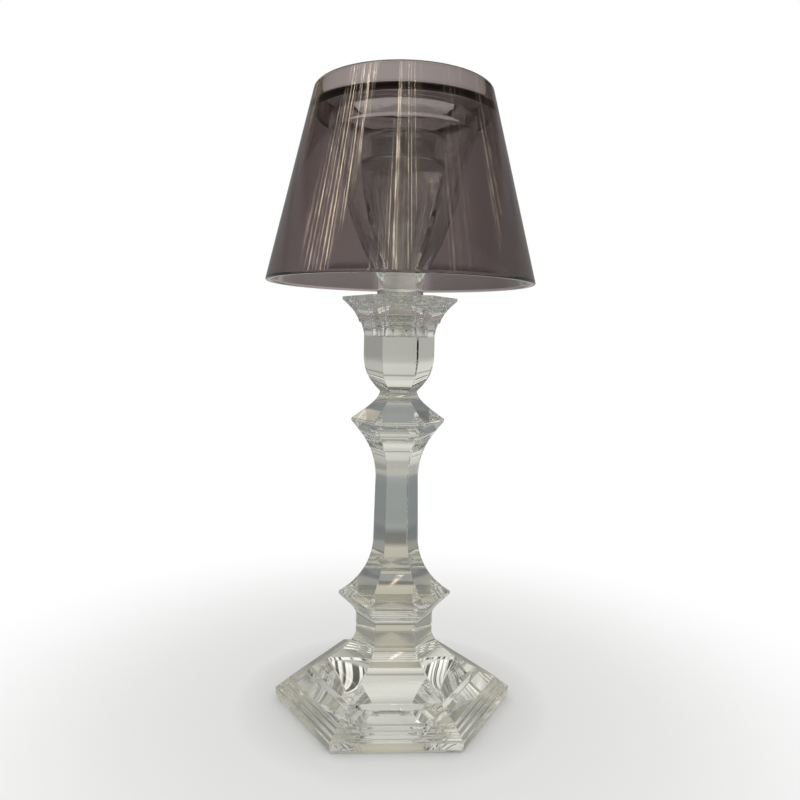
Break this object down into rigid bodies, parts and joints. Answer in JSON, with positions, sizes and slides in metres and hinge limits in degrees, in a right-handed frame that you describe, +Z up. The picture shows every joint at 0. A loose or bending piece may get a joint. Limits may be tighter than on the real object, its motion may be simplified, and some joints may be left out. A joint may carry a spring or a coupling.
{
  "type": "candle lamp with shade",
  "caption": "Candle lamp: a tinted conical glass shade rests on a clear tulip glass that stands in the socket of a hexagonal crystal candlestick and holds a candle glass.",
  "frame": {"origin": "centre of the foot's underside, on the table", "axes": "+Z up along the lamp's axis; +X towards one corner of the hexagonal foot; -Y towards the front of the picture"},
  "size_m": [0.1606, 0.1606, 0.37],
  "materials": {
    "crystal": "pressed and cut lead crystal, polished",
    "clear_glass": "mouth-blown clear glass, fire-polished",
    "tinted_glass": "plum-grey tinted glass, polished",
    "clear_cup": "clear moulded polycarbonate",
    "wax": "translucent gel wax",
    "wick": "braided cotton, waxed",
    "tinplate": "thin pressed tinplate"
  },
  "bodies": {
    "stand": {"candlestick": "crystal", "drip_collar": "crystal"},
    "carrier": {"shade_carrier": "clear_glass"},
    "candle_holder": {"candle_glass": "clear_glass"},
    "candle": {"candle_cup": "clear_cup", "candle_wax": "wax", "wick": "wick", "wick_tab": "tinplate"},
    "shade": {"shade": "tinted_glass"}
  },
  "joints": [
    {"name": "carrier_lift", "type": "slide", "parent": "stand", "child": "carrier", "axis": [0, 0, 1], "range_m": [0, 0.05]},
    {"name": "shade_lift", "type": "slide", "parent": "carrier", "child": "shade", "axis": [0, 0, 1], "range_m": [0, 0.12]},
    {"name": "candle_glass_lift", "type": "slide", "parent": "carrier", "child": "candle_holder", "axis": [0, 0, 1], "range_m": [0, 0.12]},
    {"name": "candle_lift", "type": "slide", "parent": "candle_holder", "child": "candle", "axis": [0, 0, 1], "range_m": [0, 0.05]}
  ]
}
